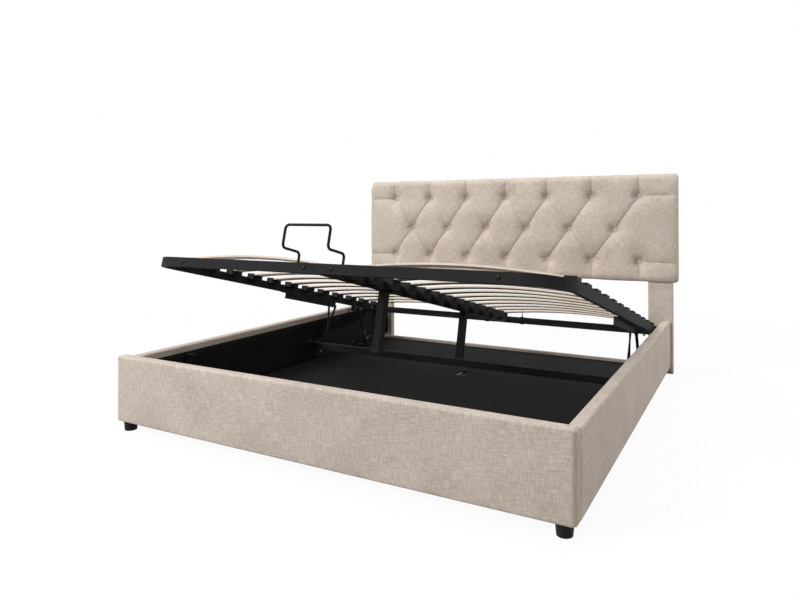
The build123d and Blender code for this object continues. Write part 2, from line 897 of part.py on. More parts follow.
def strut_mount():
    """Plate on the platform's right-hand tube with the stud that carries the strut's upper eye."""
    y, z = strut_high
    plate_x = (tube_inner_x - plate, tube_inner_x)
    body = block(plate_x, (y - mount_half, y + mount_half), (z - mount_below, z + mount_below + mount_above))
    far = strut_x - strut_eye_width / 2 - clear
    near = strut_x + strut_eye_width / 2 + clear
    body += disc_x((far - collar_thickness, plate_x[0]), y, z, strut_pin_radius)
    body += disc_x((far - collar_thickness, far), y, z, collar_radius)
    return body + disc_x((near, near + collar_thickness), y, z, collar_radius)


def head_clips():
    """Clips round the head rail, each with a short upright wire."""
    x = (clip_x - clip_width / 2, clip_x + clip_width / 2)
    y = (head_end_y - frame_width, head_end_y)
    outside_y = (y[0] - clip_wall, y[1] + clip_wall)
    clip = block(x, outside_y, (frame_bottom - clip_wall, frame_top + clip_wall))
    clip -= block((x[0] - overrun, x[1] + overrun), y, (frame_bottom, frame_top))
    wire_z = (frame_top + clip_wall, frame_top + clip_wire_height)
    wire = disc_z(clip_x, (y[0] + y[1]) / 2, wire_z, clip_wire_radius)
    return both(clip + wire)


# Gas struts, placed between the lower pin and where the upper stud is when the platform is open

def upper_stud():
    """Upper stud's y and z on the raised platform."""
    dy = strut_high[0] - pivot_y
    dz = strut_high[1] - pivot_z
    angle = radians(opened_angle)
    return pivot_y + dy * cos(angle) + dz * sin(angle), pivot_z - dy * sin(angle) + dz * cos(angle)


def along_strut(piece):
    """Turn a piece drawn upwards from the lower pin into the strut's direction."""
    y, z = strut_low
    high_y, high_z = upper_stud()
    lean = degrees(atan2(y - high_y, high_z - z))
    return place(strut_x, y, z) * Rot(lean, 0, 0) * piece


def strut_length():
    """Distance between the two pins when the platform is open."""
    high_y, high_z = upper_stud()
    return hypot(high_y - strut_low[0], high_z - strut_low[1])


def eye(height, radius, hole):
    """Flat eye across X round a pin at one height on the strut."""
    turn = Pos(0, 0, height) * Rot(0, 90, 0)
    return turn * (Cylinder(radius, strut_eye_width) - Cylinder(hole, strut_eye_width + overrun))


def strut_rod():
    """Right-hand piston rod with its lower eye."""
    start = strut_pin_radius + 2 * clear
    rod = Pos(0, 0, (start + rod_length) / 2) * Cylinder(rod_radius, rod_length - start)
    hole = strut_pin_radius + pin_clearance
    drilled = rod - Rot(0, 90, 0) * Cylinder(strut_eye_radius, strut_eye_width)
    return along_strut(drilled + eye(0, strut_eye_radius, hole))


def strut_barrel():
    """Right-hand gas cylinder with its upper eye."""
    top = strut_length()
    neck = top - strut_high_eye_radius - barrel_neck
    low = neck - barrel_length
    body = Pos(0, 0, (low + neck) / 2) * Cylinder(barrel_radius, barrel_length)
    stem = 2 * barrel_neck
    body += Pos(0, 0, neck + barrel_neck - stem / 2 + clear) * Cylinder(barrel_neck, stem)
    bore_top = neck - barrel_end
    body += eye(top, strut_high_eye_radius, strut_pin_radius + strut_high_play)
    depth = bore_top - low + overrun
    body -= Pos(0, 0, bore_top - depth / 2) * Cylinder(rod_radius + rod_clearance, depth)
    return along_strut(body)


def write_base():
    """Write every sub-part that stays still."""
    board, cover, lining = footboard()
    save("footboard_board", [board])
    save("footboard_cover", [cover])
    save("footboard_lining", [lining])
    for piece, name in zip(side_rail(), ("board", "cover", "lining")):
        save("side_" + name + "_right", [piece])
        save("side_" + name + "_left", [left_of(piece)])
    save("head_cross_rail", [head_cross_rail()])
    save("front_feet", front_feet())
    save("headboard_cushion", [cushion()])
    save("headboard_buttons", buttons())
    panel, battens, back = headboard_inside()
    save("headboard_panel", [panel])
    save("headboard_battens", battens)
    save("headboard_back_cloth", [back])
    save("headboard_leg_right", [headboard_leg()])
    save("headboard_leg_left", [left_of(headboard_leg())])
    save("leg_cover_right", [leg_cover()])
    save("leg_cover_left", [left_of(leg_cover())])
    save("leg_glides", leg_glides())
    save("floor_ledges", floor_ledges())
    save("floor_panels", floor_panels())
    save("floor_strips", floor_strips())
    battens, feet = floor_battens()
    save("floor_battens", battens)
    save("batten_feet", feet)
    save("cross_brace", cross_brace())
    foot_angles, head_angles = corner_angles()
    save("foot_corner_angles", foot_angles)
    save("head_corner_angles", head_angles)
    save("corner_bolts", corner_bolts())
    save("base_bracket_right", [base_bracket()])
    save("base_bracket_left", [left_of(base_bracket())])
    save("bracket_screws", bracket_screws())
    save("pivot_pins", pivot_pins())
    save("strut_pins", strut_pins())
    brackets, pads = rests()
    save("rest_brackets", brackets)
    save("rest_pads", pads)


def write_platform():
    """Write every sub-part of the raised platform."""
    pair = {
        "platform_tube": [side_tube()],
        "slats": slats(),
        "slat_holders": side_holders(),
    }
    for name, pieces in pair.items():
        save(name + "_right", [raised(piece) for piece in pieces])
        save(name + "_left", [raised(left_of(piece)) for piece in pieces])
    tubes, caps = posts()
    single = {
        "platform_front_rail": [front_rail()],
        "platform_head_rail": [head_rail()],
        "centre_beam": [centre_beam()],
        "front_bolts": front_bolts(),
        "beam_slat_holders": beam_holders(),
        "centre_posts": tubes,
        "post_caps": caps,
        "mattress_retainer": [retainer()],
        "upper_brackets": both(upper_bracket()),
        "side_legs": both(side_leg()),
        "strut_mounts": both(strut_mount()),
        "head_rail_clips": head_clips(),
    }
    for name, pieces in single.items():
        save(name, [raised(piece) for piece in pieces])


def write_struts():
    """Write the rods and barrels of both gas struts."""
    for name, piece in (("strut_rod", strut_rod()), ("strut_barrel", strut_barrel())):
        save(name + "_right", [piece])
        save(name + "_left", [left_of(piece)])


os.makedirs("parts", exist_ok=True)
write_base()
write_platform()
write_struts()
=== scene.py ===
import json
from math import pi

import bmesh
import bpy
import numpy as np
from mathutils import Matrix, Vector


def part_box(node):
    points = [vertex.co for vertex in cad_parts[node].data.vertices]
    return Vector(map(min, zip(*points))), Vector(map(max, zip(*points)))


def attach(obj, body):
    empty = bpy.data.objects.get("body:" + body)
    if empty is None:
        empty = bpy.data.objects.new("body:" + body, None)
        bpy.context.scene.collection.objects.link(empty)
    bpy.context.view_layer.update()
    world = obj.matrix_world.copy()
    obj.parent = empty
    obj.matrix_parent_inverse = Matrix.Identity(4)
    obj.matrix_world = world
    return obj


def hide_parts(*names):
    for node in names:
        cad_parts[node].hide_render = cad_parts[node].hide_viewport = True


# Looks of the upholstered ottoman bed. Everything is in metres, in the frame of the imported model:
# +X to the right seen from the foot, +Y to the headboard, +Z up, the origin on the floor.

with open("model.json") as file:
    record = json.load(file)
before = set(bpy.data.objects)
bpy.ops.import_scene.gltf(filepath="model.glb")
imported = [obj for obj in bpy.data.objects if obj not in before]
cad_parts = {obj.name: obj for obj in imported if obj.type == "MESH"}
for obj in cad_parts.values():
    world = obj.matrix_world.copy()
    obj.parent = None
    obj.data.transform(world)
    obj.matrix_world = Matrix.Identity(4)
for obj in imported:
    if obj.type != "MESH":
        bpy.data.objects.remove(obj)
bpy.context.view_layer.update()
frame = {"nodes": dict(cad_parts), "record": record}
scene = bpy.context.scene
mm = 0.001


# Shader maths

class Wire:
    """An output socket in one material. Sums, differences and products of wires add Math nodes."""

    def __init__(self, tree, socket):
        self.tree = tree
        self.socket = socket

    def node(self, kind, settings=(), inputs=(), out=0):
        """Adds a node: its settings first, then the values or wires of its sockets."""
        made = self.tree.nodes.new(kind)
        for name, value in dict(settings).items():
            setattr(made, name, value)
        for name, value in dict(inputs).items():
            if isinstance(value, Wire):
                self.tree.links.new(value.socket, made.inputs[name])
            else:
                made.inputs[name].default_value = value
        return Wire(self.tree, made.outputs[out])

    def maths(self, operation, *others):
        """Math node on this wire and the others, in that order."""
        return self.node("ShaderNodeMath", {"operation": operation}, enumerate((self,) + others))

    def __add__(self, other):
        return self.maths("ADD", other)

    def __sub__(self, other):
        return self.maths("SUBTRACT", other)

    def __mul__(self, other):
        return self.maths("MULTIPLY", other)

    def __rsub__(self, other):
        return self * -1.0 + other

    __radd__ = __add__
    __rmul__ = __mul__

    def step(self, low, high):
        """Smooth rise from 0 to 1 between two values."""
        settings = {"interpolation_type": "SMOOTHSTEP"}
        return self.node("ShaderNodeMapRange", settings, {0: self, 1: low, 2: high})

    def dot(self, other):
        """Dot product with another direction."""
        return self.node("ShaderNodeVectorMath", {"operation": "DOT_PRODUCT"}, {0: self, 1: other}, 1)

    def blend(self, first, second):
        """Mix of two colours, by this wire."""
        return self.node("ShaderNodeMix", {"data_type": "RGBA"}, {0: self, 6: first, 7: second}, 2)


def grey(value):
    """Opaque grey."""
    return (value, value, value, 1.0)


def shade(red, green, blue):
    """Opaque colour."""
    return (red, green, blue, 1.0)


class Finish:
    """One material: its coordinates, the noises on them, and its shader.

    The coordinates are those of a named UV map, or else the object's own ones.
    """

    def __init__(self, name, uv=""):
        self.material = bpy.data.materials.new(name)
        self.material.use_nodes = True
        self.tree = self.material.node_tree
        self.tree.nodes.clear()
        self.start = Wire(self.tree, None)
        if uv:
            self.where = self.start.node("ShaderNodeUVMap", {"uv_map": uv})
        else:
            self.where = self.start.node("ShaderNodeTexCoord", out=3)

    def along(self, stretch, turn=(0.0, 0.0, 0.0)):
        """The coordinates turned, then multiplied by a number for each direction."""
        return self.start.node("ShaderNodeMapping", {}, {0: self.where, 2: turn, 3: stretch})

    def noise(self, stretch, detail=2.0, roughness=0.5):
        """Noise from 0 to 1 whose grain has a pitch of 1 / stretch metres each way."""
        inputs = {"Vector": self.along(stretch), "Scale": 1.0, "Detail": detail, "Roughness": roughness}
        return self.start.node("ShaderNodeTexNoise", {}, inputs)

    def even_noise(self, stretch, detail=2.0, roughness=0.5):
        """Noise with the same pitch in all directions."""
        return self.noise((stretch, stretch, stretch), detail, roughness)

    def axis(self, number, turn=(0.0, 0.0, 0.0)):
        """One of the three coordinates as a wire."""
        return self.start.node("ShaderNodeSeparateXYZ", {}, {0: self.along((1.0, 1.0, 1.0), turn)}, number)

    def facing(self):
        """Direction that the surface faces, before any bump."""
        return self.start.node("ShaderNodeNewGeometry", out=1)

    def bump(self, height, strength, distance, normal=None):
        """Normal that a height in the material gives, on top of another one."""
        inputs = {"Height": height, "Strength": strength, "Distance": distance}
        if normal:
            inputs["Normal"] = normal
        return self.start.node("ShaderNodeBump", {}, inputs)

    def soft_edges(self, radius):
        """Normal rounded over edges, and a mask that rises to 1 where rounding turned it most."""
        rounded = self.start.node("ShaderNodeBevel", {"samples": 4}, {"Radius": radius})
        return rounded, (1.0 - rounded.dot(self.facing())).step(0.004, 0.08)

    def close(self, **sockets):
        """Principled shader with these sockets, on the material's output."""
        inputs = {name.replace("_", " "): value for name, value in sockets.items()}
        self.end(self.start.node("ShaderNodeBsdfPrincipled", {}, inputs))
        return self.material

    def end(self, shader):
        """Puts a shader on the material's output."""
        made = self.tree.nodes.new("ShaderNodeOutputMaterial")
        self.tree.links.new(shader.socket, made.inputs[0])


# Materials. A noise is given by its grains per metre, its detail and its roughness.

# The platform as the photograph shows it: its turn about X, and its upward direction
opened_angle = -0.2426
platform_up = (0.0, 0.24, 0.97)
# A slat: its middle and half length along X, how far it bows, and the pitch of its ply lines
slat_middle, slat_half, slat_bow = 0.477, 0.449, 0.030
ply_pitch = 2.0 * mm
# Pitch of the linen's plain weave, both ways
thread_pitch = 1.6 * mm


def linen_cloth():
    """Beige linen: slubs along both threads, a wide cloud of tone, and a few dark flecks.

    The relief is the slubs plus a fine plain weave, the product of two crossed sines.
    """
    m = Finish("linen_cloth", "weave")
    deep, pale, dark = shade(0.425, 0.352, 0.293), shade(0.780, 0.688, 0.603), shade(0.35, 0.282, 0.228)
    across = m.noise((26.0, 300.0, 1.0), 3.0, 0.6).step(0.36, 0.70)
    upright = m.noise((300.0, 26.0, 1.0), 3.0, 0.6).step(0.36, 0.70)
    slubs = across * 0.5 + upright * 0.5
    cloud = m.noise((5.0, 5.0, 1.0), 3.0).step(0.3, 0.7)
    fleck = m.noise((60.0, 520.0, 1.0), 2.0, 0.5).step(0.62, 0.8) * 0.45
    colour = fleck.blend((slubs * 0.8 + cloud * 0.2).blend(deep, pale), dark)
    turns = 2.0 * pi / thread_pitch
    weft = (m.axis(0) * turns).maths("SINE")
    warp = (m.axis(1) * turns).maths("SINE")
    height = (weft * warp * 0.5 + 0.5) * 0.45 + slubs
    return m.close(Base_Color=colour, Roughness=0.86 + slubs * 0.1, Normal=m.bump(height, 0.5, 0.5 * mm),
                   Sheen_Weight=0.12, Sheen_Roughness=0.5, Specular_IOR_Level=0.25)


def black_lining():
    """Black non-woven cloth with a felted, slightly dimpled face."""
    m = Finish("black_lining")
    fibre = m.even_noise(420.0, 4.0, 0.65)
    cloud = m.even_noise(6.0)
    colour = (fibre * 0.6 + cloud * 0.4).step(0.3, 0.7).blend(grey(0.004), grey(0.011))
    return m.close(Base_Color=colour, Roughness=0.84 + fibre * 0.12, Normal=m.bump(fibre, 0.5, 0.4 * mm),
                   Specular_IOR_Level=0.12)


def frame_board():
    """Plain timber board with its grain along X."""
    m = Finish("frame_board")
    rings = m.noise((3.0, 60.0, 60.0), 4.0, 0.6).step(0.25, 0.75)
    pores = m.noise((30.0, 900.0, 900.0), 2.0, 0.6)
    colour = rings.blend(shade(0.62, 0.47, 0.31), shade(0.46, 0.32, 0.19))
    return m.close(Base_Color=colour, Roughness=0.6 + pores * 0.2, Normal=m.bump(pores, 0.4, 0.3 * mm))


def floor_board():
    """Thin black-faced board with a faint pressed grain and rubbed patches."""
    m = Finish("floor_board")
    grain = m.even_noise(300.0, 3.0, 0.6)
    rub = m.even_noise(4.0, 4.0, 0.6).step(0.35, 0.75)
    colour = (grain * 0.4 + rub * 0.6).blend(grey(0.005), grey(0.014))
    return m.close(Base_Color=colour, Roughness=0.74 + rub * 0.12, Normal=m.bump(grain, 0.35, 0.3 * mm),
                   Specular_IOR_Level=0.10)


def dark_steel():
    """Black satin powder coat: fine orange peel, a little dust, and scuffed edges a little brighter."""
    m = Finish("dark_steel")
    coat, dusty = shade(0.0130, 0.0130, 0.0134), shade(0.0200, 0.0198, 0.0198)
    rounded, edge = m.soft_edges(1.6 * mm)
    peel = m.even_noise(700.0, 2.0, 0.5)
    dust = m.even_noise(9.0, 4.0, 0.6).step(0.35, 0.8)
    scuff = m.even_noise(160.0, 4.0, 0.7).step(0.45, 0.7)
    colour = (edge * scuff * 0.5).blend(dust.blend(coat, dusty), shade(0.070, 0.071, 0.074))
    return m.close(Base_Color=colour, Roughness=0.66 + peel * 0.10 + dust * 0.08,
                   Normal=m.bump(peel, 0.25, 0.25 * mm, rounded), Specular_IOR_Level=0.12)


def bright_steel():
    """Zinc-plated steel with brushed streaks and rubbed edges."""
    m = Finish("bright_steel")
    dull, clear, rubbed = shade(0.20, 0.205, 0.215), shade(0.30, 0.305, 0.31), grey(0.42)
    rounded, edge = m.soft_edges(0.8 * mm)
    streak = m.noise((60.0, 1500.0, 1500.0), 3.0, 0.6)
    cloud = m.even_noise(120.0, 3.0).step(0.3, 0.7)
    colour = (edge * 0.5).blend(cloud.blend(dull, clear), rubbed)
    return m.close(Base_Color=colour, Metallic=1.0, Roughness=0.26 + streak * 0.16,
                   Normal=m.bump(streak, 0.15, 0.1 * mm, rounded))


def bolt_brass():
    """Bronzed brass, nearly black where it is tarnished, and golden at the edges: rubbed brass there, and a
    painted highlight on the rim.
    """
    m = Finish("bolt_brass")
    bronze, black, golden = shade(0.036, 0.022, 0.010), shade(0.010, 0.008, 0.005), shade(0.42, 0.27, 0.11)
    rounded, edge = m.soft_edges(1.6 * mm)
    tarnish = m.even_noise(260.0, 4.0, 0.6).step(0.3, 0.65)
    # Golden edges: rubbed brass, and a painted highlight on the rim of each bolt head
    colour = (edge * 0.35).blend(tarnish.blend(bronze, black), golden)
    return m.close(Base_Color=colour, Metallic=1.0, Roughness=0.18 + tarnish * 0.2,
                   Normal=m.bump(tarnish, 0.2, 0.1 * mm, rounded))


def slat_wood():
    """Pale laminated birch: fine grain along the slat, and thin ply lines on its upright sides.

    The plies follow the slat's parabola: the height in the opened platform's frame, plus the bow
    times the square of the distance from the slat's middle.
    """
    m = Finish("slat_wood")
    pale, grained, pored = shade(0.84, 0.755, 0.645), shade(0.70, 0.59, 0.46), shade(0.55, 0.43, 0.31)
    ply_line, rubbed = shade(0.44, 0.32, 0.2), shade(0.88, 0.8, 0.7)
    rounded, edge = m.soft_edges(1.2 * mm)
    grain = m.noise((5.0, 210.0, 210.0), 4.0, 0.6).step(0.25, 0.75)
    flame = m.noise((2.0, 34.0, 34.0), 3.0, 0.5).step(0.3, 0.7)
    pores = m.noise((40.0, 1400.0, 1400.0), 2.0, 0.6).step(0.55, 0.75)
    colour = (grain * 0.55 + flame * 0.45).blend(pale, grained)
    colour = (pores * 0.35).blend(colour, pored)
    side = (m.axis(0).maths("ABSOLUTE") - slat_middle) * (1.0 / slat_half)
    level = m.axis(2, (opened_angle, 0.0, 0.0)) + side * side * slat_bow
    ply = (level * (2.0 * pi / ply_pitch)).maths("SINE").step(0.2, 0.9)
    upright = 1.0 - m.facing().dot(platform_up).maths("ABSOLUTE").step(0.5, 0.75)
    colour = (ply * upright * 0.55).blend(colour, ply_line)
    colour = (edge * 0.25).blend(colour, rubbed)
    return m.close(Base_Color=colour, Roughness=0.42 + grain * 0.14,
                   Normal=m.bump(grain, 0.15, 0.2 * mm, rounded), Specular_IOR_Level=0.4)


def moulded(name, dark, light, smooth, rough, grains):
    """Black moulded plastic or rubber with a fine spark-eroded grain.

    Its tone lies between two greys and its roughness between two values; the edges are lighter.
    """
    m = Finish(name)
    rounded, edge = m.soft_edges(1.0 * mm)
    grain = m.even_noise(grains, 3.0, 0.6)
    cloud = m.even_noise(14.0, 3.0).step(0.3, 0.75)
    colour = (grain * 0.5 + cloud * 0.5).blend(grey(dark), grey(light))
    colour = (edge * 0.35).blend(colour, grey(light * 2.2))
    return m.close(Base_Color=colour, Roughness=smooth + grain * (rough - smooth),
                   Normal=m.bump(grain, 0.3, 0.25 * mm, rounded), Specular_IOR_Level=0.16)


finishes = {
    "linen_cloth": linen_cloth(),
    "black_lining": black_lining(),
    "frame_board": frame_board(),
    "floor_board": floor_board(),
    "dark_steel": dark_steel(),
    "bright_steel": bright_steel(),
    "bolt_brass": bolt_brass(),
    "slat_wood": slat_wood(),
    "black_plastic": moulded("black_plastic", dark=0.006, light=0.012, smooth=0.60, rough=0.74, grains=900.0),
    "rubber_pad": moulded("rubber_pad", dark=0.010, light=0.020, smooth=0.62, rough=0.85, grains=600.0),
}


# Meshes

def weld(mesh, *others):
    """Adds other meshes to one, merges the points that coincide, and turns its faces outwards."""
    shell = bmesh.new()
    for part in (mesh,) + others:
        shell.from_mesh(part)
    bmesh.ops.remove_doubles(shell, verts=shell.verts, dist=0.002 * mm)
    bmesh.ops.recalc_face_normals(shell, faces=shell.faces)
    shell.to_mesh(mesh)
    shell.free()
    mesh.shade_smooth()


def surface(name, points, weave, slot, close_u=False, close_v=False):
    """Mesh of one or several grids of points, with its cloth coordinates in metres.

    points has the shape (..., rows, columns, 3) and weave (..., rows, columns, 2); a closed
    direction joins its last row or column to its first. The piece belongs to the still body.
    """
    rows, columns = points.shape[-3:-1]
    count = rows * columns
    numbers = np.arange(count).reshape(rows, columns)
    down = np.roll(numbers, -1, 0)
    right = np.roll(numbers, -1, 1)
    both = np.roll(down, -1, 1)
    quads = np.stack([numbers, right, both, down], -1)
    quads = quads[:rows if close_u else rows - 1, :columns if close_v else columns - 1].reshape(-1, 4)
    grids = points.reshape(-1, count, 3)
    quads = (quads[None] + count * np.arange(len(grids))[:, None, None]).reshape(-1, 4)
    mesh = bpy.data.meshes.new(name)
    mesh.from_pydata(grids.reshape(-1, 3), [], quads)
    layer = mesh.uv_layers.new(name="weave")
    layer.data.foreach_set("uv", weave.reshape(-1, 2)[quads.reshape(-1)].astype(np.float32).reshape(-1))
    weld(mesh)
    piece = bpy.data.objects.new(name, mesh)
    scene.collection.objects.link(piece)
    piece.data.materials.append(finishes[slot])
    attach(piece, "base")
    return piece


def thicken(piece, thickness, offset):
    """Gives a sheet a wall, to both sides of it for an offset of 0 and behind it for -1."""
    wall = piece.modifiers.new("wall", "SOLIDIFY")
    wall.thickness = thickness
    wall.offset = offset


def ripple(u, v, seed, pitch=0.25, waves=7):
    """Soft uneven swell: the mean of sine waves of random direction, each with a length near one pitch."""
    random = np.random.default_rng(seed)
    total = np.zeros(np.broadcast(u, v).shape)
    for _ in range(waves):
        angle = random.uniform(0, pi)
        length = pitch * random.uniform(0.6, 1.8)
        turn = (u * np.cos(angle) + v * np.sin(angle)) * 2 * pi / length
        total = total + np.sin(turn + random.uniform(0, 2 * pi))
    return total / waves


def ring(half_a, half_b, radius, side, corner):
    """Rounded rectangle as a closed loop, with even points on each side and on each corner.

    Returns its points and the outward direction at each of them.
    """
    radius = np.minimum(radius, np.minimum(half_a, half_b))
    parts = []
    for quarter in range(4):
        angle = np.linspace(0.0, pi / 2, corner + 1) + quarter * pi / 2
        sign_a = (1, -1, -1, 1)[quarter]
        sign_b = (1, 1, -1, -1)[quarter]
        centre = np.array([sign_a * (half_a - radius), sign_b * (half_b - radius)])
        out = np.stack([np.cos(angle), np.sin(angle)], -1)
        parts.append((centre + radius * out, out))
    points, outs = [], []
    for quarter in range(4):
        arc, out = parts[quarter]
        following = parts[(quarter + 1) % 4][0][0]
        share = np.linspace(0.0, 1.0, side + 1)[1:-1, None]
        points += [arc, arc[-1] + (following - arc[-1]) * share]
        outs += [out, np.repeat(out[-1:], side - 1, 0)]
    return np.concatenate(points), np.concatenate(outs)


def around_loop(loops):
    """Distance of each point from the first one along its closed loop, and to the one after it."""
    closed = np.concatenate([loops, loops[..., :1, :]], -2)
    spans = np.linalg.norm(np.diff(closed, axis=-2), axis=-1)
    return np.cumsum(spans, axis=-1) - spans, spans


def slab(name, nodes, low, high, along, radius, end_radius, swell, seed, pitch):
    """Padded board cover: a rounded rectangle carried along its length, drawn in at both ends.

    Near each end the section shrinks on a quarter circle, and then closes flat. The broad faces
    swell outwards by a curve of the fourth power across their width, with a soft uneven ripple
    on it.
    """
    side_points, corner_points, end_points = 14, 6, 9
    least_radius, radius_loss, cap_share = 3 * mm, 0.6, 0.55
    low, high = np.array(low), np.array(high)
    across = [axis for axis in range(3) if axis != along]
    middle = (low + high) / 2
    half = (high - low) / 2
    angles = np.linspace(0.0, pi / 2, end_points)
    draw = end_radius * (1 - np.sin(angles))
    inward = end_radius * (1 - np.cos(angles))
    length = half[along] * 2
    steps = int(length / pitch)
    inner = np.linspace(end_radius, length - end_radius, steps)
    places = np.concatenate([inward, inner[1:-1], length - inward[::-1]])
    draws = np.concatenate([draw, np.zeros(steps - 2), draw[::-1]])
    section = []
    for inset in draws:
        corner = max(radius - inset * radius_loss, least_radius)
        loop, _ = ring(half[across[0]] - inset, half[across[1]] - inset, corner, side_points, corner_points)
        section.append(loop)
    section = np.array(section)
    share = section / half[across]
    fade = 1 - np.clip(draws / end_radius, 0, 1)[:, None]
    around, _ = around_loop(section)
    waves = ripple(places[:, None], around, seed)
    bulge = swell * (1 - np.clip(np.abs(share[..., 1]), 0, 1) ** 4) * (0.7 + 0.6 * waves)
    section[..., 0] += np.sign(section[..., 0]) * bulge * fade * (np.abs(share[..., 0]) > 0.9)
    cap = np.array([cap_share, 0.0])[:, None, None]
    section = np.concatenate([(section[0] * cap)[::-1], section, section[-1] * cap])
    places = np.concatenate([[0.0, 0.0], places, [length, length]])
    around = np.concatenate([around[:1], around[:1], around, around[-1:], around[-1:]])
    points = np.zeros(section.shape[:2] + (3,))
    points[..., along] = (low[along] + places)[:, None]
    points[..., across[0]] = middle[across[0]] + section[..., 0]
    points[..., across[1]] = middle[across[1]] + section[..., 1]
    weave = np.stack([points[..., along], around], -1)
    piece = surface(name, points, weave, "linen_cloth", close_v=True)
    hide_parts(*nodes)


def stretched(name, node, normal, slot):
    """Sheet of cloth stretched flat over a board, in the place of its CAD solid.

    The sheet is a grid over the two long directions with a very small ripple, thickened by a wall.
    """
    pitch, wave_height, wave_pitch, wall = 0.03, 0.35 * mm, 0.3, 1.4 * mm
    low, high = (np.array(corner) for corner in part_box(node))
    flat = [axis for axis in range(3) if axis != normal]
    size = (high - low)[flat]
    counts = (size / pitch).astype(int) + 2
    u = np.linspace(low[flat[0]], high[flat[0]], counts[0])[:, None]
    v = np.linspace(low[flat[1]], high[flat[1]], counts[1])[None, :]
    points = np.zeros((counts[0], counts[1], 3))
    points[..., flat[0]] = u
    points[..., flat[1]] = v
    middle = (low[normal] + high[normal]) / 2
    points[..., normal] = middle + wave_height * ripple(u, v, len(name), wave_pitch)
    piece = surface(name, points, points[..., flat], slot)
    thicken(piece, wall, 0.0)
    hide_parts(node)


# Upholstered rails. Distances from the foot are from the footboard's outer face.

half_length = 1.0775
foot_half, foot_top, foot_inner_face = 1.015, 0.325, 0.0456
side_outer_face, side_lining_face, side_top = 1.011, 0.9634, 0.312
side_start, rail_end = 0.0475, 2.110
cross_half, cross_top, cross_start = 0.961, 0.064, 2.085
rail_bottom = 0.040
sides = ((1, "right"), (-1, "left"))


def from_foot(y):
    """A distance from the footboard's outer face as a Y of the frame."""
    return y - half_length


slab("footboard_cover_soft", ["footboard_cover"], (-foot_half, from_foot(0.0), rail_bottom),
     (foot_half, from_foot(foot_inner_face), foot_top), along=0, radius=10 * mm, end_radius=22 * mm,
     swell=1.6 * mm, seed=3, pitch=0.02)
for side, name in sides:
    edges = sorted((side * side_lining_face, side * side_outer_face))
    slab("side_cover_soft_" + name, ["side_cover_" + name], (edges[0], from_foot(side_start), rail_bottom),
         (edges[1], from_foot(rail_end), side_top), along=1, radius=9 * mm, end_radius=8 * mm,
         swell=1.4 * mm, seed=5 + side, pitch=0.02)
    stretched("side_lining_cloth_" + name, "side_lining_" + name, 0, "black_lining")
stretched("footboard_lining_cloth", "footboard_lining", 1, "black_lining")
stretched("headboard_back_sheet", "headboard_back_cloth", 1, "black_lining")
slab("head_cross_rail_cover", ["head_cross_rail"], (-cross_half, from_foot(cross_start), rail_bottom),
     (cross_half, from_foot(rail_end), cross_top), along=0, radius=5 * mm, end_radius=4 * mm,
     swell=0.4 * mm, seed=9, pitch=0.03)


# Headboard

# Outline, and the planes of the face's edge and of the rear
board_half = 1.056
board_low, board_high = 0.537, 1.175
board_middle = (board_low + board_high) / 2
board_half_high = (board_high - board_low) / 2
board_front = from_foot(2.083)
board_rear = from_foot(2.1525)
# Corners of the face and of the rear; over edge_roll the face turns back by edge_depth, and in
# its middle it stands out by crown
front_radius = 60 * mm
rear_radius = 20 * mm
edge_roll = 42 * mm
edge_depth = 27 * mm
crown = 13 * mm
face_pitch = 2.8 * mm
# Buttons: their pitch, and each row's height and number
button_pitch = 0.281
button_rows = ((1.048, 7), (0.844, 6), (0.652, 7))
button_depth = 43 * mm
button_radius = 11 * mm
# Puffs between the buttons: how far their edge reaches from the pleat, how much of a button's depth
# the pleat has, and by what share and over what distance a button deepens it
puff_reach = 58 * mm
pleat_share = 0.28
pleat_gain, pleat_gain_reach = 1.1, 60 * mm
crease_radius = 0.9 * mm
pit_bottom = 6 * mm
fold_height, fold_count, fold_place, fold_width = 0.9 * mm, 7, 34 * mm, 17 * mm
# Each part of a button's pit: its share of the depth, its reach and its power
pits = ((0.58, 23 * mm, 1.7), (0.42, 60 * mm, 1.6))
# Rows of the rim: share of the way back, share of the way out, and distance turned in
rim_steps = (
    (0.1, 0.4, 0.0), (0.2, 0.8, 0.0), (0.3, 1.0, 0.0), (0.5, 1.0, 0.0), (0.9, 1.0, 0.0),
    (0.97, 1.0, 0.003), (1.0, 1.0, 0.010), (1.0, 1.0, 0.05), (1.0, 1.0, 9.0),
)


def button_places():
    """Centres of the buttons, row by row."""
    rows = []
    for height, count in button_rows:
        first = -button_pitch * (count - 1) / 2
        rows.append([(first + button_pitch * i, height) for i in range(count)])
    return rows


def pleat_lines():
    """Pleats between the buttons, and from the outer buttons past the edges, as pairs of points."""
    top, middle, bottom = button_places()
    past = 0.1
    lines = []
    for row in (top, bottom):
        for x, z in middle:
            lines += [((x, z), other) for other in row if abs(other[0] - x) < button_pitch]
        lines.append((row[0], (-board_half - past, row[0][1])))
        lines.append((row[-1], (board_half + past, row[-1][1])))
    lines += [(p, (p[0], board_high + past)) for p in top]
    lines += [(p, (p[0], board_low - past)) for p in bottom]
    return lines


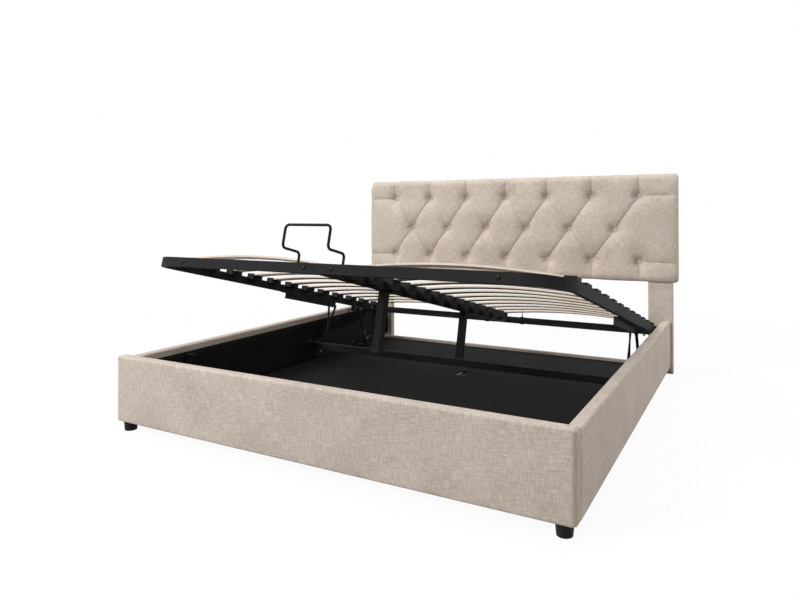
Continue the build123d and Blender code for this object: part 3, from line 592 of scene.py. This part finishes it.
def tuft_depth(x, z):
    """Depth of the buttoned face below its smooth crown.

    Each button draws a steep pit in a wide pocket, two exponentials of the distance from it. Towards
    each pleat the filling turns down on a quarter ellipse, so that two puffs meet in a crease,
    deeper near the buttons. Small folds run out of every pocket.
    """
    nearest = np.full(x.shape, 9.0)
    spin = np.zeros(x.shape)
    for bx, bz in sum(button_places(), []):
        far = np.hypot(x - bx, z - bz)
        spin = np.where(far < nearest, np.arctan2(z - bz, x - bx), spin)
        nearest = np.minimum(nearest, far)
    pleat = np.full(x.shape, 9.0)
    for (ax, az), (bx, bz) in pleat_lines():
        run = np.array([bx - ax, bz - az])
        length = np.hypot(*run)
        s = np.clip(((x - ax) * run[0] + (z - az) * run[1]) / length, 0, length) / length
        pleat = np.minimum(pleat, np.hypot(x - ax - s * run[0], z - az - s * run[1]))
    away = np.maximum(nearest - pit_bottom, 0)
    pocket = sum(share * np.exp(-(away / reach) ** power) for share, reach, power in pits)
    lean = np.clip(np.hypot(pleat, crease_radius) / puff_reach, 0, 1)
    puff = 1 - np.sqrt(1 - (1 - lean) ** 2)
    sunk = pleat_share * (1.0 + pleat_gain * np.exp(-nearest / pleat_gain_reach))
    ring_of_folds = np.exp(-((nearest - fold_place) / fold_width) ** 2)
    folds = fold_height * np.cos(fold_count * spin + 3 * x + 5 * z) * ring_of_folds
    return button_depth * (pocket + (1 - 0.8 * pocket) * sunk * puff) + folds


def graded(low, high, roll, pitch):
    """Places from low to high, close together over the rolled edges and even between them."""
    turn = roll * (1 - np.cos(np.linspace(0.0, pi / 2, 10)))
    inner = np.linspace(low + roll, high - roll, int((high - low - 2 * roll) / pitch))
    return np.concatenate([low + turn, inner[1:-1], high - turn[::-1]])


def rounded(x, z, radius):
    """Turns the corners of a grid onto quarter circles; also the distance in from its outline."""
    u = np.clip((np.abs(x) - board_half + radius) / radius, 0, 1) + 0 * z
    v = np.clip((np.abs(z - board_middle) - board_half_high + radius) / radius, 0, 1) + 0 * x
    turned_u = u * np.sqrt(1 - v * v / 2)
    turned_v = v * np.sqrt(1 - u * u / 2)
    flat_x = x + np.sign(x) * (turned_u - u) * radius
    flat_z = z + np.sign(z - board_middle) * (turned_v - v) * radius
    inside = np.minimum(board_half - np.abs(x) + 0 * z, board_half_high - np.abs(z - board_middle) + 0 * x)
    turned = np.where((u > 0) & (v > 0), radius * (1 - np.hypot(turned_u, turned_v)), inside)
    return flat_x, flat_z, np.minimum(inside, turned)


def face_and_rear():
    """The cushion's buttoned face and its flat rear, as two grids of the same shape.

    Both are grids of x and z whose corners are turned onto quarter circles, wider ones on the
    face. The face's y follows a quarter ellipse near the edge and a low crown between, and the
    tufting moves it inwards along its own normal, by a smaller share over the rolled edge, with
    a soft ripple.
    """
    edge_share, wave_height = 0.25, 1.3 * mm
    x = graded(-board_half, board_half, edge_roll, face_pitch)[:, None]
    z = graded(board_low, board_high, edge_roll, face_pitch)[None, :]
    flat_x, flat_z, inside = rounded(x, z, front_radius)
    from_edge = np.clip(inside, 0, edge_roll)
    fall = edge_depth * (1 - np.sqrt(np.maximum(1 - (1 - from_edge / edge_roll) ** 2, 0)))
    low_crown = crown * (1 - ((z - board_middle) / board_half_high) ** 2) * (1 - (x / board_half) ** 6)
    face = np.stack([flat_x, board_front + fall - low_crown, flat_z], -1)
    out = np.cross(np.gradient(face, axis=0), np.gradient(face, axis=1))
    out = out / np.maximum(np.linalg.norm(out, axis=2, keepdims=True), 1e-12)
    out = out * np.sign(-out[..., 1:2] + 1e-9)
    depth = tuft_depth(flat_x, flat_z) * (edge_share + (1 - edge_share) * from_edge / edge_roll)
    depth = depth + wave_height * ripple(flat_x, flat_z, seed=11, pitch=0.22)
    face = face - out * depth[..., None]
    rear_x, rear_z, _ = rounded(x, z, rear_radius)
    return face, np.stack([rear_x, board_rear + 0 * rear_x, rear_z], -1)


def border(grid):
    """The outermost points of a grid, once round."""
    return np.concatenate([grid[:-1, 0], grid[-1, :-1], grid[:0:-1, -1], grid[0, :0:-1]])


def rim_rows(rim, rear):
    """Rows from the face's edge back and out to the rear outline, round a small corner to a flat end."""
    reach = board_half - board_half_high
    line = np.stack([np.clip(rim[:, 0], -reach, reach), rim[:, 1], np.full(len(rim), board_middle)], -1)
    rows = []
    for back, out, inset in rim_steps:
        row = rim + (rear - rim) * out
        row[:, 1] = rim[:, 1] + (rear[:, 1] - rim[:, 1]) * back
        away = line - row
        away[:, 1] = 0
        distance = np.linalg.norm(away, axis=1, keepdims=True)
        row += away * np.minimum(inset / distance, 1.0)
        rows.append(row)
    return np.array(rows)


def cushion_piece():
    """Deep-buttoned cushion: the face and the rim behind it, joined in one closed mesh."""
    face, rear = face_and_rear()
    rim = border(face)
    rows = np.concatenate([rim[None], rim_rows(rim, border(rear))])
    around, _ = around_loop(rim)
    back = np.linalg.norm(np.diff(rows, axis=0), axis=2).cumsum(axis=0)
    back = np.concatenate([np.zeros((1, len(rim))), back])
    weave = np.stack([around + 0 * back, back], -1)
    front = surface("headboard_face", face, face[..., [0, 2]], "linen_cloth")
    edge = surface("headboard_cushion_soft", rows, weave, "linen_cloth", close_v=True)
    weld(edge.data, front.data)
    bpy.data.objects.remove(front)
    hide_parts("headboard_cushion")


def button_piece():
    """Covered buttons: each a low dome turned about its own axis, closed behind."""
    spokes = 24
    dome_height, back_depth, set_back = 5 * mm, 4 * mm, 4.5 * mm
    angle = np.linspace(0.0, pi / 2, 7)
    r = np.concatenate([button_radius * np.sin(angle), [button_radius, 0.0]])
    y = np.concatenate([-dome_height * np.cos(angle), [back_depth, back_depth]])
    turn = np.arange(spokes) * 2 * pi / spokes
    places = np.array(sum(button_places(), []))
    points = np.zeros((len(places), len(r), len(turn), 3))
    points[..., 0] = places[:, 0, None, None] + r[:, None] * np.cos(turn)
    rise = crown * (1 - ((places[:, 1] - board_middle) / board_half_high) ** 2)
    points[..., 1] = (board_front - rise + button_depth)[:, None, None] + set_back + y[:, None]
    points[..., 2] = places[:, 1, None, None] + r[:, None] * np.sin(turn)
    piece = surface("headboard_covered_buttons", points, points[..., [0, 2]], "linen_cloth", close_v=True)
    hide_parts("headboard_buttons")


cushion_piece()
button_piece()


def leg_sleeve(side, name):
    """Cloth sleeve: a softly rippled rounded rectangle carried up the leg, with a wall inside it."""
    low, high = (np.array(corner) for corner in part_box("leg_cover_" + name))
    inset, wave_height, wall = 1.0 * mm, 0.5 * mm, 1.2 * mm
    half = (high - low)[:2] / 2 - inset
    loop, outs = ring(half[0], half[1], radius=6 * mm, side=8, corner=4)
    heights = np.linspace(low[2], high[2], 30)
    around, spans = around_loop(loop)
    centre = ((low + high) / 2)[:2]
    wobble = wave_height * ripple(around[None, :], heights[:, None], seed=20 + side, pitch=0.2)
    points = np.zeros((len(heights), len(loop), 3))
    points[..., :2] = centre + loop + outs * wobble[..., None]
    points[..., 2] = heights[:, None]
    weave = np.stack([around + 0 * heights[:, None], points[..., 2]], -1)
    piece = surface("leg_sleeve_" + name, points, weave, "linen_cloth", close_v=True)
    thicken(piece, wall, -1.0)
    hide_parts("leg_cover_" + name)


for side, name in sides:
    leg_sleeve(side, name)


# Finishes of the nodes that stay

for part in frame["record"]["subparts"]:
    node = frame["nodes"][part["node"]]
    if not node.material_slots:
        node.data.materials.append(None)
    for place in node.material_slots:
        place.material = finishes[part["material_slot"]]


# Floor, light and camera

# Strength of the surroundings' light on the bed
soft_light = 0.26
# Light on the directly seen floor: its share near the bed, and what is left of that under the bed
near_share, under_share = 0.94, 0.04
# Distances from the origin over which the floor turns wholly white, and the bed's shade ends in x and y
white_from, white_to = 1.8, 4.5
shade_x, shade_y = (0.60, 0.85), (0.65, 0.90)
floor_half = 20.0
# Lamps: name, place, target, size in metres and power in watts
lamps = (
    ("key", (-5.6, -7.6, 6.4), (0.0, 0.0, 0.6), 3.2, 1000.0),
    ("top", (0.0, 0.2, 5.4), (0.0, 0.6, 0.5), 3.0, 130.0),
    ("side", (6.0, 1.4, 1.4), (1.0, 0.2, 0.3), 1.6, 105.0),
)


def seen_directly(start):
    """1 for camera, glossy and transmission rays."""
    camera_ray, glossy, through = (start.node("ShaderNodeLightPath", out=number) for number in (0, 3, 6))
    return camera_ray.maths("MAXIMUM", glossy).maths("MAXIMUM", through)


def studio():
    """Surroundings that are white where they are seen directly, and a plain soft light otherwise."""
    world = bpy.data.worlds.new("studio")
    world.use_nodes = True
    tree = world.node_tree
    tree.nodes.clear()
    start = Wire(tree, None)
    seen = seen_directly(start)
    light = start.node("ShaderNodeBackground", {}, {0: grey(1.0), 1: soft_light})
    white = start.node("ShaderNodeBackground", {}, {0: grey(1.0), 1: 1.0})
    mixed = start.node("ShaderNodeMixShader", {}, {0: seen, 1: light, 2: white})
    made = tree.nodes.new("ShaderNodeOutputWorld")
    tree.links.new(mixed.socket, made.inputs[0])
    scene.world = world


def pale_floor():
    """Plain floor of matt paint, with white light over it where it is seen directly.

    The light leaves a faint shadow beside the bed, nearly all of the shade under it, and nothing
    far away, where the floor meets the white surroundings.
    """
    m = Finish("pale_floor")
    direct = seen_directly(m.start)
    paint = m.even_noise(30.0, 3.0).blend(grey(0.93), grey(0.96))
    matt = m.start.node("ShaderNodeBsdfDiffuse", {}, {0: direct.blend(grey(0.40), paint)})
    distance = m.start.node("ShaderNodeVectorMath", {"operation": "LENGTH"}, {0: m.where}, 1)
    far = distance.step(white_from, white_to)
    glow = m.start.node("ShaderNodeEmission", {}, {0: grey(1.0), 1: 1.0})
    beyond_x = m.axis(0).maths("ABSOLUTE").step(*shade_x)
    beyond_y = m.axis(1).maths("ABSOLUTE").step(*shade_y)
    beside = beyond_x.maths("MAXIMUM", beyond_y)
    share = direct * (near_share + far * (1 - near_share)) * (under_share + beside * (1 - under_share))
    m.end(m.start.node("ShaderNodeMixShader", {}, {0: share, 1: matt, 2: glow}))
    corners = floor_half * np.array([(-1.0, -1.0, 0.0), (-1.0, 1.0, 0.0), (1.0, -1.0, 0.0), (1.0, 1.0, 0.0)])
    mesh = bpy.data.meshes.new("floor")
    mesh.from_pydata(corners, [], [(0, 2, 3, 1)])
    plane = bpy.data.objects.new("floor", mesh)
    plane.data.materials.append(m.material)
    scene.collection.objects.link(plane)


def lamp(name, place, target, size, power):
    """Square soft lamp that points from its place at a target."""
    data = bpy.data.lights.new(name, "AREA")
    data.size = size
    data.energy = power
    made = bpy.data.objects.new(name, data)
    made.location = place
    made.rotation_mode = "QUATERNION"
    made.rotation_quaternion = (Vector(target) - Vector(place)).to_track_quat("-Z", "Y")
    scene.collection.objects.link(made)


def camera():
    """Camera of the photograph, as fitted to the straight edges in it."""
    data = bpy.data.cameras.new("camera")
    data.sensor_width = 36.0
    data.lens = 28.102
    data.shift_x = -0.03317
    data.shift_y = -0.11232
    made = bpy.data.objects.new("camera", data)
    made.location = (1.47364, -2.85278, 0.94393)
    made.rotation_euler = (pi / 2 + 0.0054, 0.0018, 0.4898)
    scene.collection.objects.link(made)
    scene.camera = made


scene.view_settings.view_transform = "Standard"
studio()
pale_floor()
for entry in lamps:
    lamp(*entry)
camera()
